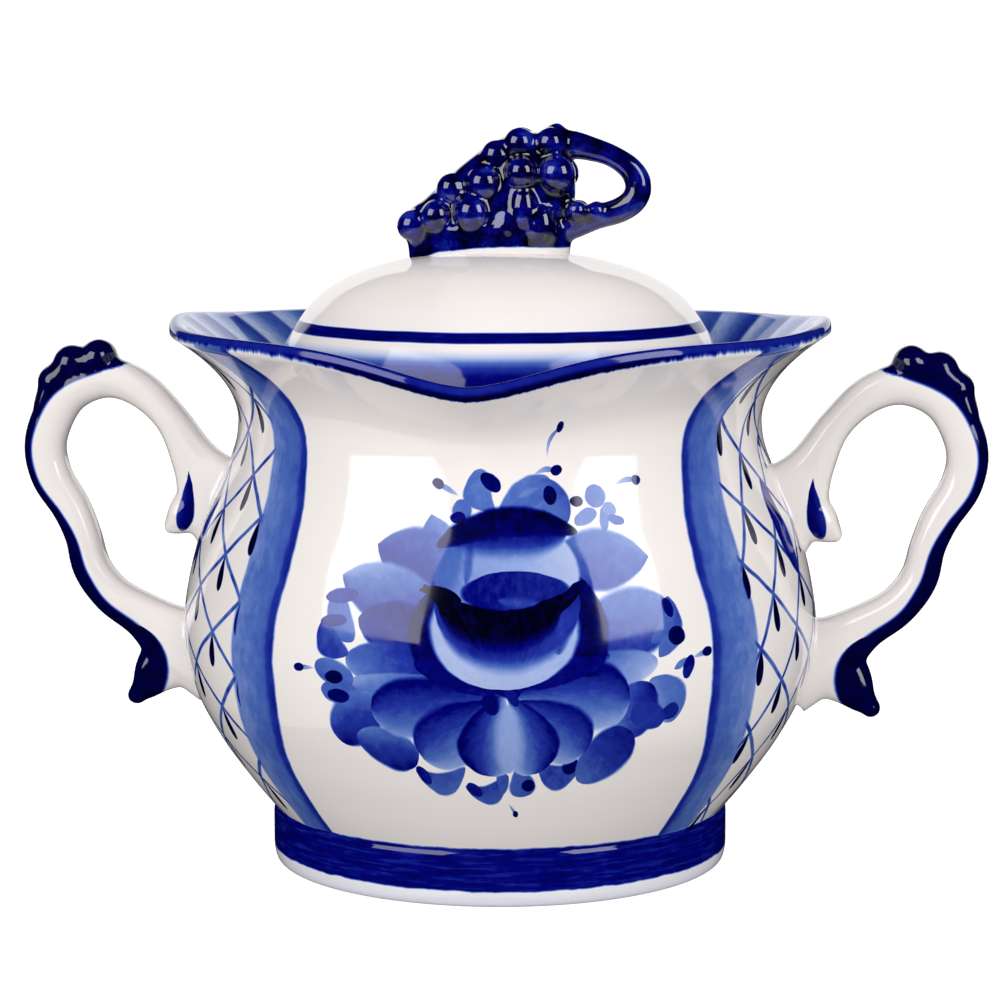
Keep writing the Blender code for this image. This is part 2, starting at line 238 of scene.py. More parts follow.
def bowl_outline(angle):
    """(zone, points) from the middle of the foot's hollow, up, over the lip and down inside."""
    lip_radius, lip_height = lip_at(angle)
    lip_top = lip_height + LIP_THICKNESS
    foot = rounded([(0.0, RECESS_HEIGHT + 0.4, 0), (RECESS_RADIUS, RECESS_HEIGHT, 2.5),
                    (RECESS_RADIUS + 0.9, 0.0, 0.8), (FOOT_RADIUS - 0.6, 0.0, 0.9),
                    (FOOT_RADIUS, 2.0, 1.5), (FOOT_RADIUS, 9.5, 0.8), (*BELLY[0], 0)])
    flare = [Vector((NECK_RADIUS + (lip_radius - NECK_RADIUS) * step ** 2,
                     NECK_HEIGHT + (lip_height - NECK_HEIGHT) * step))
             for step in (k / FLARE_STEPS for k in range(1, FLARE_STEPS + 1))]
    lip = rounded([(lip_radius, lip_height, 0), (lip_radius, lip_height + 1.3, 0.6),
                   (lip_radius - 0.5, lip_top, 0.6), (lip_radius - LIP_EDGE, lip_top - 0.3, 0)])[1:]
    inner_radius = lip_radius - LIP_EDGE
    inner_height = lip_top - 0.3
    inside = [Vector((LEDGE_OUTER_RADIUS + (inner_radius - LEDGE_OUTER_RADIUS) * step ** 1.4,
                      LEDGE_HEIGHT + (inner_height - LEDGE_HEIGHT) * step))
              for step in (1 - k / INSIDE_STEPS for k in range(1, INSIDE_STEPS + 1))]
    ledge = rounded([(LEDGE_OUTER_RADIUS, LEDGE_HEIGHT, 0), (LEDGE_HOLE_RADIUS, LEDGE_HEIGHT, 0.7),
                     (LEDGE_HOLE_RADIUS, LEDGE_HEIGHT - LEDGE_THICKNESS, 0.9),
                     (NECK_RADIUS - WALL, NECK_HEIGHT, 0)])[1:]
    floor = rounded([(RECESS_RADIUS + 0.6, FLOOR_HEIGHT + 3.0, 0),
                     (RECESS_RADIUS - 6.0, FLOOR_HEIGHT + 0.3, 4.0), (0.0, FLOOR_HEIGHT, 0)])
    return [("foot", foot[:-1]), ("outer", BELLY_CURVE), ("outer", flare), ("outer", lip),
            ("flare", inside), ("inside", ledge), ("inside", BELLY_INSIDE), ("inside", floor)]


def lid_outline(angle):
    """(zone, points) from the top of the hollow, down, round the flange and up over the dome."""
    dome = curve_through(DOME, CURVE_STEPS)
    hollow = [p for p in reversed(offset(dome, -WALL)) if p.x > 0 and p.y > LID_SEAT + 2.0]
    inner = FLANGE_RADIUS - FLANGE_THICKNESS
    hollow = [Vector((min(p.x, inner), p.y)) for p in hollow]
    flange = rounded([(inner, LID_SEAT + 1.0, 0), (inner, LID_SEAT - FLANGE_DEPTH, 0.8),
                      (FLANGE_RADIUS - 0.2, LID_SEAT - FLANGE_DEPTH, 0.8),
                      (FLANGE_RADIUS, LID_SEAT, 0.5), (LID_RADIUS - 0.3, LID_SEAT, 0.5),
                      (*DOME[0], 0)])[:-1]
    return [("inside", [Vector((0.0, LID_TOP - WALL))] + hollow), ("inside", flange),
            ("dome", dome)]


# ---------------------------------------------------------------- meshes

def tile_name(from_panel, height):
    """The panel tile at this distance from the panel's middle and this height."""
    column = sum(from_panel >= left for left in TILE_LEFTS) - 1
    row = sum(height >= bottom for bottom in TILE_BOTTOMS) - 1
    return f"panel_{max(column, 0)}_{max(row, 0)}"


def region(zone, around, height):
    """Material name, and the distance round the belly at which its paint map starts."""
    if zone != "outer":
        return zone, 0.0
    half_turn = math.pi * BELLY_RADIUS
    for centre in (0.0, half_turn, -half_turn):
        from_panel = around - centre - PANEL_SHIFT
        if abs(from_panel) <= PANEL_HALF:
            return tile_name(from_panel, height), centre + PANEL_SHIFT
    if around > 0:
        return "right_side", SIDE_CENTRE + PANEL_SHIFT
    return "left_side", PANEL_SHIFT - SIDE_CENTRE


def turned_mesh(name, outline_at, segments, slots):
    """A closed turned mesh with a material slot for each region and two UV maps. Paint is
    (distance round the belly, height) and Rim is (that distance, distance down from the rim)."""
    tags = []
    for zone, points in outline_at(0.0):
        tags += [zone] * len(points)
    vertices = []
    rim_distance = []
    for s in range(segments):
        angle = 2 * math.pi * s / segments
        outline = [p for zone, points in outline_at(angle) for p in points]
        for p in outline[1:-1]:
            vertices.append((p.x * math.sin(angle) * MM, -p.x * math.cos(angle) * MM, p.y * MM))
        top = max(range(len(outline)), key=lambda i: outline[i].y)
        steps = [0.0] + [(b - a).length for a, b in zip(outline, outline[1:])]
        run = np.cumsum(steps)
        rim_distance.append(run[top] - run)
    first = outline_at(0.0)[0][1][0]
    last = outline_at(0.0)[-1][1][-1]
    vertices += [(0, 0, first.y * MM), (0, 0, last.y * MM)]
    count = len(tags) - 2
    faces = []
    marks = []
    for s in range(segments):
        n = (s + 1) % segments
        faces.append((len(vertices) - 2, s * count, n * count))
        marks.append((s, 0))
        for k in range(count - 1):
            faces.append((s * count + k, s * count + k + 1, n * count + k + 1, n * count + k))
            marks.append((s, k + 1))
        faces.append((len(vertices) - 1, n * count + count - 1, s * count + count - 1))
        marks.append((s, count))
    mesh = bpy.data.meshes.new(name)
    mesh.from_pydata(vertices, [], faces)
    paint = mesh.uv_layers.new(name="Paint")
    rim = mesh.uv_layers.new(name="Rim")
    for face, (s, row) in zip(mesh.polygons, marks):
        middle = 360 * (s + 0.5) / segments
        if middle > 180:
            middle -= 360
        zone = tags[min(row + 1, len(tags) - 1)]
        around = math.radians(middle) * BELLY_RADIUS
        slot, start = region(zone, around, face.center.z / MM)
        face.material_index = slots.get(slot, 0)
        for loop in face.loop_indices:
            index = mesh.loops[loop].vertex_index
            if index >= len(vertices) - 2:
                column, level = s, 0 if index == len(vertices) - 2 else len(tags) - 1
            else:
                column, level = index // count, index % count + 1
            turn = 360 * column / segments
            if turn - middle > 180:
                turn -= 360
            u = math.radians(turn) * BELLY_RADIUS - start
            v = vertices[index][2] / MM
            if zone == "flare":
                v = FLARE_DEPTH * (level - tags.index("flare") + 1) / tags.count("flare")
            paint.data[loop].uv = (u / UV_UNIT, v / UV_UNIT)
            rim.data[loop].uv = (u / UV_UNIT, rim_distance[column][level] / UV_UNIT)
    mesh.shade_smooth()
    return mesh


def linked(name, data):
    """A new object in the scene with this mesh, light or camera."""
    item = bpy.data.objects.new(name, data)
    bpy.context.scene.collection.objects.link(item)
    return item


def new_piece(name, mesh, body, nodes):
    """An object that shows this mesh, rides on the body and stands for the CAD nodes."""
    piece = linked(name, mesh)
    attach(piece, body)
    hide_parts(*nodes)


def sweep(builder, stations, depths, sides=28, boxy=2.5):
    """A closed tube in the XZ plane with a slightly squared section: stations (x, z, width)."""
    rings = []
    for i, (x, z, width) in enumerate(stations):
        before = stations[max(i - 1, 0)]
        after = stations[min(i + 1, len(stations) - 1)]
        along = Vector((after[0] - before[0], after[1] - before[1])).normalized()
        ring = []
        for k in range(sides):
            angle = 2 * math.pi * k / sides
            across = math.copysign(abs(math.cos(angle)) ** (2 / boxy), math.cos(angle))
            deep = math.copysign(abs(math.sin(angle)) ** (2 / boxy), math.sin(angle))
            side = 0.5 * width * across
            ring.append(builder.verts.new((x - along.y * side, 0.5 * depths[i] * deep,
                                           z + along.x * side)))
        rings.append(ring)
    for here, there in zip(rings, rings[1:]):
        for k in range(sides):
            n = (k + 1) % sides
            builder.faces.new((here[k], here[n], there[n], there[k]))
    builder.faces.new(list(reversed(rings[0])))
    builder.faces.new(rings[-1])


def add_ellipsoid(builder, centre, radii):
    place = Matrix.Translation(centre) @ Matrix.Diagonal((*radii, 1.0))
    bmesh.ops.create_uvsphere(builder, u_segments=40, v_segments=24, radius=1.0, matrix=place)


def fused(name, builder, voxel, smoothing):
    """One closed cast form from overlapping solids: voxel remeshed, then smoothed."""
    mesh = bpy.data.meshes.new(name)
    builder.to_mesh(mesh)
    builder.free()
    item = linked(name, mesh)
    remesh = item.modifiers.new("fuse", "REMESH")
    remesh.mode = "VOXEL"
    remesh.voxel_size = voxel
    ease = item.modifiers.new("ease", "SMOOTH")
    ease.factor = 0.5
    ease.iterations = smoothing
    bpy.context.view_layer.update()
    found = bpy.data.meshes.new_from_object(item.evaluated_get(
        bpy.context.evaluated_depsgraph_get()))
    bpy.data.objects.remove(item)
    found.name = name
    found.shade_smooth()
    return found


def positions(mesh):
    """The vertices of a mesh, one row each."""
    found = np.zeros(len(mesh.vertices) * 3, np.float32)
    mesh.vertices.foreach_get("co", found)
    return found.reshape(-1, 3).astype(float)


def set_positions(mesh, points):
    mesh.vertices.foreach_set("co", points.astype(np.float32).ravel())
    mesh.update()


def add_map(mesh, name, first, second):
    """A UV map from two values at each vertex, given in millimetres."""
    layer = mesh.uv_layers.new(name=name)
    index = np.zeros(len(mesh.loops), np.int32)
    mesh.loops.foreach_get("vertex_index", index)
    values = np.stack([first[index], second[index]], axis=1) / UV_UNIT
    layer.data.foreach_set("uv", values.astype(np.float32).ravel())


# ---------------------------------------------------------------- shader building

def set_inputs(node, values):
    for name, value in values.items():
        node.inputs[name].default_value = value


class Graph:
    """Short calls for the nodes of one material or group."""

    def __init__(self, tree):
        self.tree = tree

    def join(self, value, socket):
        if isinstance(value, bpy.types.NodeSocket):
            self.tree.links.new(value, socket)
        else:
            socket.default_value = value

    def node(self, kind, *values, **settings):
        """A new node whose first inputs take these values, each a constant or another output."""
        made = self.tree.nodes.new(kind)
        for name, value in settings.items():
            setattr(made, name, value)
        for value, socket in zip(values, made.inputs):
            self.join(value, socket)
        return made

    def math(self, operation, *values):
        return self.node("ShaderNodeMath", *values, operation=operation).outputs[0]

    add = partialmethod(math, "ADD")
    sub = partialmethod(math, "SUBTRACT")
    mul = partialmethod(math, "MULTIPLY")
    fit = partialmethod(math, "MULTIPLY_ADD")    # of a value, a gain and a shift
    size = partialmethod(math, "ABSOLUTE")
    most = partialmethod(math, "MAXIMUM")

    def smooth(self, value, low, high, start=0.0, end=1.0):
        """Goes smoothly from start to end while the value goes from low to high."""
        return self.node("ShaderNodeMapRange", value, low, high, start, end,
                         interpolation_type="SMOOTHSTEP").outputs[0]

    def straight(self, value, low, high, start=0.0, end=1.0):
        """Goes evenly from start to end while the value goes from low to high."""
        return self.node("ShaderNodeMapRange", value, low, high, start, end,
                         interpolation_type="LINEAR").outputs[0]

    def vector(self, x, y):
        return self.node("ShaderNodeCombineXYZ", x, y, 0.0).outputs[0]

    def parts(self, vector):
        """The first two parts of a vector."""
        made = self.node("ShaderNodeSeparateXYZ", vector)
        return made.outputs[0], made.outputs[1]

    def less(self, vector, x, y, z=0.0):
        """The vector with (x, y, z) taken away."""
        return self.node("ShaderNodeVectorMath", vector, (x, y, z),
                         operation="SUBTRACT").outputs[0]

    def dot(self, vector, x, y):
        return self.node("ShaderNodeVectorMath", vector, (x, y, 0.0),
                         operation="DOT_PRODUCT").outputs["Value"]

    def noise(self, vector, scale, detail=2.0, roughness=0.5, output="Fac"):
        made = self.node("ShaderNodeTexNoise", vector)
        set_inputs(made, {"Scale": scale, "Detail": detail, "Roughness": roughness})
        return made.outputs[output]

    def uv(self, name):
        """A UV map as a point in millimetres."""
        made = self.node("ShaderNodeUVMap", uv_map=name)
        scaled = self.node("ShaderNodeVectorMath", made.outputs[0], operation="SCALE")
        scaled.inputs["Scale"].default_value = UV_UNIT
        return scaled.outputs[0]

    def curve(self, value, points):
        """A smooth function through the points, each (value, result)."""
        xs = [p[0] for p in points]
        ys = [p[1] for p in points]
        low, high = xs[0], xs[-1]
        bottom, top = min(ys), max(ys)
        share = self.straight(value, low, high)
        made = self.node("ShaderNodeFloatCurve")
        line = made.mapping.curves[0]
        line.points[0].location = (0.0, (ys[0] - bottom) / (top - bottom))
        line.points[1].location = (1.0, (ys[-1] - bottom) / (top - bottom))
        for x, y in points[1:-1]:
            line.points.new((x - low) / (high - low), (y - bottom) / (top - bottom))
        made.mapping.update()
        self.join(share, made.inputs["Value"])
        return self.fit(made.outputs[0], top - bottom, bottom)


BRUSH_VECTORS = ("Point", "Place", "Turn", "Size")
BRUSH_VALUES = ("Under", "Bend", "Taper", "Sharp", "Left", "Right", "Tip", "Hide", "Soft")


def brush_group():
    """One brush stroke laid over the paint so far: a bent, tapered shape with a shaded load."""
    tree = bpy.data.node_groups.new("brush_stroke", "ShaderNodeTree")
    for names, kind in ((BRUSH_VECTORS, "NodeSocketVector"), (BRUSH_VALUES, "NodeSocketFloat")):
        for name in names:
            tree.interface.new_socket(name=name, in_out="INPUT", socket_type=kind)
    tree.interface.new_socket(name="Density", in_out="OUTPUT", socket_type="NodeSocketFloat")
    g = Graph(tree)
    given = g.node("NodeGroupInput").outputs
    place = g.node("ShaderNodeMapping", vector_type="TEXTURE")
    for name, socket in (("Point", "Vector"), ("Place", "Location"), ("Turn", "Rotation"),
                         ("Size", "Scale")):
        g.join(given[name], place.inputs[socket])
    along = g.dot(place.outputs[0], 1.0, 0.0)
    across = g.dot(place.outputs[0], 0.0, 1.0)
    room = g.most(g.fit(g.mul(along, along), -1.0, 1.0), 0.0)
    width = g.mul(g.math("POWER", room, given["Sharp"]), g.fit(given["Taper"], along, 1.0))
    width = g.most(width, 0.002)       # never 0, because two values are divided by it
    bent = g.sub(across, g.mul(given["Bend"], room))
    share = g.math("DIVIDE", bent, width)
    inner = g.fit(given["Soft"], -1.0, 1.0)
    outer = g.add(1.0, given["Soft"])
    far = g.math("DIVIDE", g.add(g.size(bent), 0.005), width)    # large beyond both ends
    mask = g.smooth(far, outer, inner)
    shade = g.straight(share, -1.0, 1.0, given["Right"], given["Left"])
    load = g.fit(given["Tip"], along, shade)
    kept = g.sub(given["Under"], g.mul(given["Under"], g.mul(mask, given["Hide"])))
    result = g.fit(mask, g.most(load, 0.0), kept)
    g.join(result, g.node("NodeGroupOutput").inputs[0])
    return tree


BRUSH = brush_group()


class Painter:
    """Lays strokes on one paint map, each over the ones before it.

    Strokes that stay outside the window (left, right, bottom, top) are left out.
    """

    def __init__(self, graph, point, window=None):
        self.graph = graph
        self.point = point
        self.window = window
        self.painted = False
        self.density = 0.0

    def reaches(self, centre, half, spread, turn):
        """Whether a stroke of this half length and half width comes near the window."""
        if self.window is None:
            return True
        left, right, bottom, top = self.window
        reach_x = abs(math.cos(turn)) * half + abs(math.sin(turn)) * spread + TILE_MARGIN
        reach_z = abs(math.sin(turn)) * half + abs(math.cos(turn)) * spread + TILE_MARGIN
        return (left < centre.x + reach_x and centre.x - reach_x < right
                and bottom < centre.y + reach_z and centre.y - reach_z < top)

    def stroke(self, tail, head, width, left=0.5, right=None, tip=0.0, bend=0.0, taper=0.0,
               sharp=0.5, hide=1.0, soft=0.12):
        """A stroke from tail to head. Left and right are its loads at the two sides, and tip adds
        to the head and takes from the tail. Bend swells it to the left by that many mm. Taper
        widens its head, and sharp is 0.5 for round ends and 1 for pointed ones. Hide is how much
        of the paint below it covers, and soft is the share of its width that its edge takes."""
        tail, head = Vector(tail), Vector(head)
        half = 0.5 * (head - tail).length
        centre = 0.5 * (tail + head)
        turn = math.atan2(head.y - tail.y, head.x - tail.x)
        spread = 0.5 * width * (1 + 0.5 * abs(taper)) * (1 + soft) + abs(bend)
        if not self.reaches(centre, half, spread, turn):
            return
        made = self.graph.node("ShaderNodeGroup", node_tree=BRUSH)
        values = {"Point": self.point, "Under": self.density,
                  "Place": (centre.x, centre.y, 0.0), "Turn": (0.0, 0.0, turn),
                  "Size": (half, 0.5 * width, 1.0), "Bend": 2.0 * bend / width, "Taper": taper,
                  "Sharp": sharp, "Left": left, "Right": left if right is None else right,
                  "Tip": tip, "Hide": hide, "Soft": soft}
        for name, value in values.items():
            self.graph.join(value, made.inputs[name])
        self.density = made.outputs[0]
        self.painted = True

    def blob(self, centre, across, high, left=0.5, right=None, **more):
        """A round stroke of this width and height."""
        x, y = centre
        self.stroke((x, y - 0.5 * high), (x, y + 0.5 * high), across, left, right, **more)

    def dot(self, tail, head, size, bend=0.0):
        """A dark dot at the head of a thin tail."""
        tail, head = Vector(tail), Vector(head)
        reach = (head - tail).normalized() * size * 0.7
        self.stroke(tail, head, 0.55 * size, 0.30, tip=0.15, bend=bend, sharp=0.8, taper=0.4)
        self.stroke(head - reach, head + reach, size, 0.86)

    def over(self, other):
        """Keeps the darker of the paint so far and another density."""
        self.density = self.graph.most(self.density, other)


COBALT = [(0.00, (0.820, 0.772, 0.748)), (0.10, (0.560, 0.610, 0.760)),
          (0.24, (0.250, 0.340, 0.640)), (0.42, (0.066, 0.135, 0.440)),
          (0.60, (0.013, 0.030, 0.300)), (0.78, (0.0006, 0.0012, 0.150)),
          (0.90, (0.0004, 0.0004, 0.050)), (1.00, (0.0003, 0.0003, 0.006))]


def glaze(name, paint, bump=0.035, coat=0.15, coat_ior=1.5):
    """Clear gloss glaze over white porcelain, with the density that paint(graph) returns."""
    material = bpy.data.materials.new(name)
    material.use_nodes = True
    g = Graph(material.node_tree)
    shader = material.node_tree.nodes["Principled BSDF"]
    place = g.node("ShaderNodeTexCoord").outputs["Object"]
    density = paint(g)
    pooled = g.noise(place, 420.0, 3.0, 0.6)
    density = g.mul(density, g.fit(pooled, 0.18, 0.91))
    ramp = g.node("ShaderNodeValToRGB", density)
    stops = ramp.color_ramp.elements
    while len(stops) < len(COBALT):
        stops.new(0.5)
    for stop, (position, colour) in zip(stops, COBALT):
        stop.position = position
        stop.color = (*colour, 1.0)
    g.join(ramp.outputs[0], shader.inputs["Base Color"])
    g.join(g.smooth(g.noise(place, 160.0), 0.3, 0.7, 0.045, 0.11), shader.inputs["Roughness"])
    set_inputs(shader, {"Coat Weight": coat, "Coat IOR": coat_ior, "Coat Roughness": 0.03})
    peel = g.node("ShaderNodeBump")
    set_inputs(peel, {"Strength": bump, "Distance": 0.0004})
    g.join(g.noise(place, 90.0, 2.0), peel.inputs["Height"])
    g.join(peel.outputs[0], shader.inputs["Normal"])
    return material


def wobbled(g, point, amount=0.35, scale=0.25):
    """The paint map shaken a little, so that no painted edge is ruled."""
    shift = g.less(g.noise(point, scale, output="Color"), 0.5, 0.5, 0.5)
    return g.node("ShaderNodeVectorMath", shift, (2 * amount, 2 * amount, 0.0), point,
                  operation="MULTIPLY_ADD").outputs[0]


# ---------------------------------------------------------------- the painting

def rim_line(g, breadth):
    """The cobalt line on the lip, with a darker ragged edge below it on the outside, under the
    lip's overhang: there paint and painted shade together.
    """
    around, down = g.parts(g.uv("Rim"))
    low = g.add(g.mul(g.noise(g.vector(around, 0.0), 0.55, 3.0, 0.7), 2.2), breadth)
    edge = g.smooth(g.sub(down, low), 0.5, -0.6)
    # Darkest beyond about 2 mm down, on the underside of the lip: paint and painted shade together
    load = g.curve(down, [(-2.6, 0.0), (-1.6, 0.26), (-0.8, 0.30), (0.0, 0.84), (0.7, 0.72),
                          (1.6, 0.74), (2.3, 0.94), (4.6, 0.97)])
    return g.mul(edge, load)


def foot_band(g, height, around):
    """The broad band round the foot, brushed along it, with a wavering lower edge."""
    bottom, top = FOOT_BAND
    streaks = g.noise(g.vector(g.mul(around, 0.06), height), 1.3, 3.0, 0.6)
    load = g.smooth(streaks, 0.3, 0.75, 0.86, 0.70)
    low = g.fit(g.noise(g.vector(around, 3.0), 0.16), 0.9, bottom - 0.45)
    inside = g.mul(g.smooth(g.sub(height, low), -0.25, 0.25),
                   g.smooth(height, top + 0.3, top - 0.3))
    return g.mul(inside, load)


def band_share(g, from_panel, height):
    """0 at a vertical band's edge beside the panel, 1 at its edge beside the lattice."""
    edge = g.curve(height, [(5.0, 45.0), (22.0, 44.6), (38.0, 41.9), (52.0, 41.7), (64.0, 40.2),
                            (78.0, 43.0), (90.0, 46.6), (98.0, 51.8), (106.0, 57.0)])
    return g.math("DIVIDE", g.sub(from_panel, edge), BAND_WIDTH)


def vertical_band(g, share, height):
    """A broad blue stroke down each side of a panel, dark at the panel and fading away."""
    streaks = g.noise(g.vector(share, g.mul(height, 0.035)), 6.0, 4.0, 0.65)
    blots = g.noise(g.vector(g.mul(share, 8.0), height), 0.10, 3.0, 0.55)
    load = g.curve(share, [(0.0, 0.68), (0.10, 0.66), (0.24, 0.49), (0.6, 0.41), (1.0, 0.35)])
    load = g.add(load, g.fit(streaks, 0.22, -0.11))
    load = g.add(load, g.fit(blots, 0.20, -0.10))
    return g.mul(g.mul(g.smooth(share, -0.02, 0.05), g.smooth(share, 1.03, 0.95)), load)


def lattice(g, point, first, second, origin):
    """Fine lines that cross at the origin and at every step from it by first and second, with a
    dark drop hanging from each crossing."""
    area = first[0] * second[1] - second[0] * first[1]
    local = g.less(point, *origin)
    a = g.dot(local, second[1] / area, -second[0] / area)
    b = g.dot(local, -first[1] / area, first[0] / area)
    near_a = g.sub(a, g.math("ROUND", a))
    near_b = g.sub(b, g.math("ROUND", b))
    gap_a = g.mul(g.size(near_a), abs(area) / math.hypot(*second))
    gap_b = g.mul(g.size(near_b), abs(area) / math.hypot(*first))
    gap = g.math("MINIMUM", gap_a, gap_b)
    press = g.smooth(g.noise(point, 0.22), 0.35, 0.7, 0.42, 0.64)
    line = g.mul(g.smooth(gap, 0.60, 0.26), press)
    nodes = g.vector(near_a, near_b)
    across = g.size(g.dot(nodes, first[0], second[0]))
    down = g.mul(g.dot(nodes, first[1], second[1]), -1 / DROP_LENGTH)
    room = g.math("SQRT", g.most(g.sub(1.0, down), 0.0))
    width = g.mul(g.mul(g.most(down, 0.0), room), DROP_WIDTH)
    drop = g.smooth(g.sub(across, width), 0.05, -0.22, 0.0, 0.97)
    return g.most(line, drop)


def leaves(p):
    """The leaves beside the rose and the broad wings of the fan behind it."""
    p.stroke((-8, 59), (-11.8, 71.8), 8.6, 0.5, 0.36, sharp=0.9)
    p.stroke((-4, 61.6), (-22, 66.6), 10.6, 0.74, 0.5, sharp=0.9)
    p.stroke((-7, 54.8), (-28.2, 61.2), 10.6, 0.7, 0.36, tip=-0.14, sharp=0.85)
    p.stroke((-7, 50.5), (-24, 54), 9.5, 0.72, 0.78, tip=-0.08, sharp=0.65)
    p.stroke((10, 63.6), (30.4, 64.2), 10.4, 0.42, 0.58, tip=-0.08, bend=0.3, sharp=0.9)
    p.stroke((16, 52), (34.2, 54.6), 12, 0.4, 0.64, tip=-0.05, sharp=0.6)
    p.stroke((2, 44.2), (-26, 46.9), 9, 0.58, 0.72, tip=-0.26, taper=0.1)
    p.stroke((3, 43.4), (30, 46.4), 6.8, 0.56, 0.4, tip=-0.26, taper=0.25)
    p.stroke((3, 45.6), (21, 48), 4.4, 0.84, 0.6, tip=-0.1)
    p.stroke((1, 42.6), (-25.2, 42.8), 4.6, 0.58, 0.44, tip=-0.18, taper=0.2)


def side_strokes(p):
    """Small strokes in a column down each side of the flower."""
    p.stroke((-28.6, 58.6), (-25, 49.8), 5, 0.42, 0.46, bend=-1)
    p.stroke((-30.9, 57), (-24.2, 58.2), 2.6, 0.62)
    p.stroke((-31.2, 53.4), (-25.6, 47.5), 4.8, 0.54, 0.62, bend=-1.6, sharp=0.6)
    p.stroke((-31.6, 53), (-26.2, 53.6), 2.1, 0.7)
    p.stroke((-32.2, 45.6), (-24.4, 43), 4.6, 0.42, 0.52)
    p.stroke((-31, 41), (-23.6, 40.8), 4.6, 0.5, 0.46)
    p.blob((-28.3, 43.6), 3.7, 2.5, 0.9)
    p.stroke((33.2, 57.4), (29.2, 49.6), 4.8, 0.56, 0.44, bend=2.2, sharp=0.6)
    p.stroke((32.2, 57.2), (33.5, 53.8), 2, 0.82)
    p.stroke((35.8, 50.6), (30.2, 47.2), 3, 0.5, 0.44, bend=-0.6, sharp=0.7)
    p.blob((34.2, 50.5), 3.3, 3.4, 0.9)
    p.stroke((33.4, 44.8), (36.4, 46.6), 1.3, 0.4, sharp=0.8)
    p.stroke((35.6, 42.9), (37.3, 47), 2.3, 0.76)
    p.stroke((28.8, 43.6), (34.2, 35.4), 6.6, 0.46, 0.36, bend=1.4, taper=0.1)
    p.stroke((31.2, 36.4), (34.9, 38), 2.8, 0.72, taper=0.2)


def fan(p):
    """The outer leaves, then the petals that spread from the point under the rose."""
    p.stroke((24.2, 32.8), (27.6, 43.2), 9, 0.44, 0.74, tip=0.1)
    p.stroke((25.4, 38), (32.2, 35.8), 5, 0.66, 0.62)
    p.stroke((16.8, 25), (25.8, 34.2), 9, 0.6, 0.62, tip=0.16, taper=0.15)
    p.stroke((-20, 40.6), (-29.2, 32.2), 9, 0.74, 0.46, tip=0.1)
    p.blob((-27.6, 40.2), 4.3, 2.5, 0.84)
    p.stroke((-24.8, 33.4), (-13.4, 29.2), 7.6, 0.44, 0.74, tip=0.1, taper=0.15)
    p.stroke((2.5, 41.6), (-21.2, 38), 9.8, 0.3, 0.86, taper=0.5, bend=0.3)
    p.stroke((4, 41.2), (24.8, 39.8), 11, 0.86, 0.22, taper=0.55, bend=0.9)
    p.stroke((1.5, 40.6), (-12.6, 29.8), 10.4, 0.28, 0.84, tip=-0.06, taper=0.5)
    p.stroke((4.4, 40.2), (17.2, 30.6), 9.6, 0.82, 0.22, taper=0.5, bend=0.6)
    p.stroke((2, 41.6), (-0.2, 26.4), 9.6, 0.2, 0.88, taper=0.5, bend=-1.3, soft=0.08)
    p.stroke((3.6, 41), (8.2, 26.8), 8.8, 0.84, 0.2, taper=0.5, bend=1.2, soft=0.08)
    p.stroke((3.1, 39.6), (3.4, 27), 4.6, 0.24, 0.26, soft=0.7)
    p.stroke((0.2, 43.4), (5.2, 41.6), 2.6, 0.82, soft=0.2)
    p.stroke((-0.6, 42.2), (0.8, 38.2), 2.8, 0.84, soft=0.3)
    p.stroke((2.4, 43.6), (4.8, 39.6), 1.9, 0.76, soft=0.3)


def bud_tip(p):
    """The leaf that rises behind the bud's dark cap."""
    p.blob((9, 72.4), 10.4, 5.6, 0.46, 0.4)
    p.stroke((1.6, 70.6), (12.2, 77.6), 5.4, 0.4, 0.48, bend=0.9)
    p.stroke((10.2, 77.6), (14.9, 70.4), 4.2, 0.54, 0.44, bend=0.8)
    p.stroke((5.4, 74.8), (9.6, 76.2), 1, 0.2, soft=0.7, hide=0.6)
    p.blob((11.8, 75), 2.7, 3.2, 0.9)


def rose(p):
    """The rose: a shadow at each side, the bowl of the flower, its bud, throat and lip."""
    p.stroke((-10.2, 59.4), (-8.6, 43.6), 6.4, 0.88, bend=-1.6)
    p.stroke((-13.2, 47.2), (1.6, 42.6), 4.6, 0.84, 0.8)
    p.stroke((15.8, 61.6), (17, 44.6), 6.8, 0.86, 0.9, bend=1, taper=0.2)
    p.stroke((19.6, 47.4), (4.4, 43.2), 4, 0.8)
    p.blob((2.5, 53), 26.4, 20.8, 0.19, 0.21, soft=0.05)
    p.stroke((-10, 57.4), (16, 57.4), 22, 0.74, 0.64, soft=0.16)
    p.stroke((11.8, 48.6), (13, 58), 2.6, 0.48, soft=0.8, hide=0.8)
    p.stroke((-9.4, 57.9), (13, 57.9), 16.2, 1, soft=0.32)
    p.stroke((3.2, 54.4), (3, 73), 26, 0.34, 0.17, taper=-0.2, soft=0.04)
    p.stroke((-8.4, 58), (-6.6, 68.6), 5.6, 0.46, 0.36, soft=0.7, hide=0.9)
    p.stroke((-4.4, 60.5), (-3.6, 69), 1.4, 0.44, soft=0.8, hide=0.8)
    p.stroke((-8.6, 68.6), (14.6, 68.6), 5.6, 0.74, soft=0.75)
    p.stroke((-10.2, 66.8), (16.6, 68.8), 4.8, 0.94, 0.86, bend=3, soft=0.22)
    p.blob((4.6, 59), 19.6, 7.2, 0.78, 0.72, soft=0.06)
    p.stroke((1.5, 57.7), (9.2, 56.7), 1.6, 0.58, soft=0.8)
    p.stroke((-12.2, 60.1), (17, 60.5), 4.4, 1, bend=-6.3, soft=0.1)
    p.stroke((-12.8, 59.4), (-5, 57.6), 1.9, 1, bend=0.5, sharp=0.6)
    p.stroke((13, 57.6), (17.4, 60.8), 1.7, 0.92, bend=0.3, sharp=0.6)


